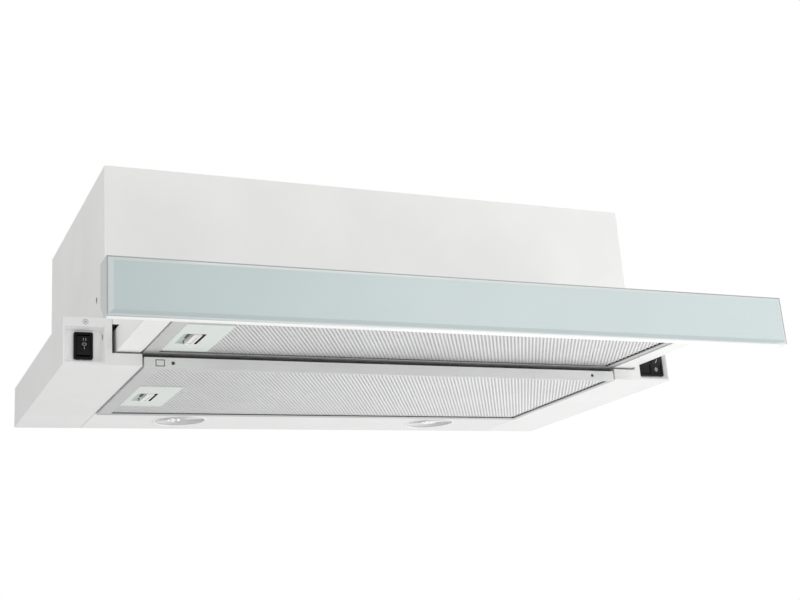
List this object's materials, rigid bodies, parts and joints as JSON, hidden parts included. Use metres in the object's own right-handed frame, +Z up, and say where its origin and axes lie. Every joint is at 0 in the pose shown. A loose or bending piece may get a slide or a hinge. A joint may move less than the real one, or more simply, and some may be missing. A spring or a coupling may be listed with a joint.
{
  "type": "pull out range hood",
  "caption": "Slim cabinet range hood with a pull-out glass-fronted filter drawer, two aluminium grease filters, rocker switches, lamps, a centrifugal blower and a top duct collar.",
  "frame": {"origin": "centre of the duct collar where it leaves its flange on top of the casing", "axes": "+X to the right seen from the front, +Y to the wall behind, +Z up along the duct"},
  "size_m": [0.598, 0.452, 0.209],
  "materials": {
    "white_paint": "smooth white powder coat",
    "white_plastic": "fine satin",
    "nylon": "smooth natural nylon",
    "zinc_steel": "zinc-plated",
    "motor_steel": "grey enamel",
    "aluminium": "satin, rolled",
    "pale_glass": "polished, painted pale blue-green behind",
    "lamp_glass": "frosted",
    "lamp_housing": "plain",
    "dark_plastic": "satin",
    "grey_plastic": "satin",
    "black_plastic": "fine grained",
    "red_plastic": "smooth"
  },
  "bodies": {
    "hood": {"casing_shell": "white_paint", "casing_top": "white_paint", "casing_back": "white_paint", "base_plate": "white_paint", "lamp_panel": "white_paint", "left_wing": "white_plastic", "right_wing": "white_plastic", "left_slide_channel": "zinc_steel", "right_slide_channel": "zinc_steel", "left_lamp_ring": "white_plastic", "right_lamp_ring": "white_plastic", "left_lamp_lens": "lamp_glass", "right_lamp_lens": "lamp_glass", "left_lamp_body": "lamp_housing", "right_lamp_body": "lamp_housing", "outlet_collar": "dark_plastic", "flap_pin": "zinc_steel", "scroll_housing": "dark_plastic", "scroll_cover": "dark_plastic", "motor": "motor_steel", "motor_bracket": "zinc_steel", "capacitor": "grey_plastic", "terminal_box": "white_plastic", "terminal_lid": "white_plastic", "cable_gland": "black_plastic", "lamp_driver": "black_plastic", "microswitch": "black_plastic", "speed_switch_body": "black_plastic", "twin_switch_body": "black_plastic", "casing_screws": "zinc_steel", "blower_screws": "zinc_steel"},
    "drawer": {"glass_panel": "pale_glass", "panel_backing": "white_paint", "left_panel_cap": "white_paint", "right_panel_cap": "white_paint", "left_drawer_rail": "white_paint", "right_drawer_rail": "white_paint", "drawer_cover": "white_paint", "drawer_rear_bar": "white_paint", "drawer_glides": "nylon"},
    "base_filter": {"base_filter_frame": "aluminium", "base_filter_lower_mesh": "aluminium", "base_filter_pad": "aluminium", "base_filter_upper_mesh": "aluminium", "base_latch_plate": "white_plastic"},
    "drawer_filter": {"drawer_filter_frame": "aluminium", "drawer_filter_lower_mesh": "aluminium", "drawer_filter_pad": "aluminium", "drawer_filter_upper_mesh": "aluminium", "drawer_latch_plate": "white_plastic"},
    "base_latch": {"base_latch_tab": "white_plastic"},
    "drawer_latch": {"drawer_latch_tab": "white_plastic"},
    "rotor": {"impeller": "grey_plastic", "motor_shaft": "zinc_steel"},
    "left_outlet_flap": {"left_flap": "grey_plastic"},
    "right_outlet_flap": {"right_flap": "grey_plastic"},
    "speed_button": {"speed_rocker": "black_plastic"},
    "fan_button": {"fan_rocker": "black_plastic"},
    "light_button": {"light_rocker": "black_plastic"},
    "stop_button": {"microswitch_plunger": "red_plastic"}
  },
  "joints": [
    {"name": "drawer_slide", "type": "slide", "parent": "hood", "child": "drawer", "axis": [0, 1, 0], "range_m": [0, 0.15]},
    {"name": "base_filter_swing", "type": "hinge", "parent": "hood", "child": "base_filter", "pos_m": [0.234, -0.03945, -0.1772], "axis": [0, -1, 0], "range_deg": [0, 25]},
    {"name": "drawer_filter_swing", "type": "hinge", "parent": "drawer", "child": "drawer_filter", "pos_m": [0.2348, -0.2045, -0.1631], "axis": [0, -1, 0], "range_deg": [0, 25]},
    {"name": "base_latch_slide", "type": "slide", "parent": "base_filter", "child": "base_latch", "axis": [1, 0, 0], "range_m": [0, 0.0032], "stiffness_N_per_m": 300, "springref_m": -0.003},
    {"name": "drawer_latch_slide", "type": "slide", "parent": "drawer_filter", "child": "drawer_latch", "axis": [1, 0, 0], "range_m": [0, 0.0032], "stiffness_N_per_m": 300, "springref_m": -0.003},
    {"name": "impeller_spin", "type": "hinge", "parent": "hood", "child": "rotor", "pos_m": [0, -0.02645, -0.0736], "axis": [1, 0, 0], "continuous": true},
    {"name": "left_flap_hinge", "type": "hinge", "parent": "hood", "child": "left_outlet_flap", "pos_m": [0, 0, 0.004], "axis": [0, 1, 0], "range_deg": [0, 75]},
    {"name": "right_flap_hinge", "type": "hinge", "parent": "hood", "child": "right_outlet_flap", "pos_m": [0, 0, 0.004], "axis": [0, -1, 0], "range_deg": [0, 75]},
    {"name": "speed_rocker_tilt", "type": "hinge", "parent": "hood", "child": "speed_button", "pos_m": [-0.282, -0.1334, -0.1636], "axis": [1, 0, 0], "range_deg": [-10, 10]},
    {"name": "fan_rocker_tilt", "type": "hinge", "parent": "hood", "child": "fan_button", "pos_m": [0.2741, -0.1334, -0.1636], "axis": [-1, 0, 0], "range_deg": [0, 20]},
    {"name": "light_rocker_tilt", "type": "hinge", "parent": "hood", "child": "light_button", "pos_m": [0.2869, -0.1334, -0.1636], "axis": [-1, 0, 0], "range_deg": [0, 20]},
    {"name": "stop_button_press", "type": "slide", "parent": "hood", "child": "stop_button", "axis": [0, 1, 0], "range_m": [0, 0.0012], "stiffness_N_per_m": 200, "springref_m": -0.001}
  ],
  "couplings": [
    {"joint": "drawer_filter_swing", "follows": "base_filter_swing", "ratio": 1}
  ]
}
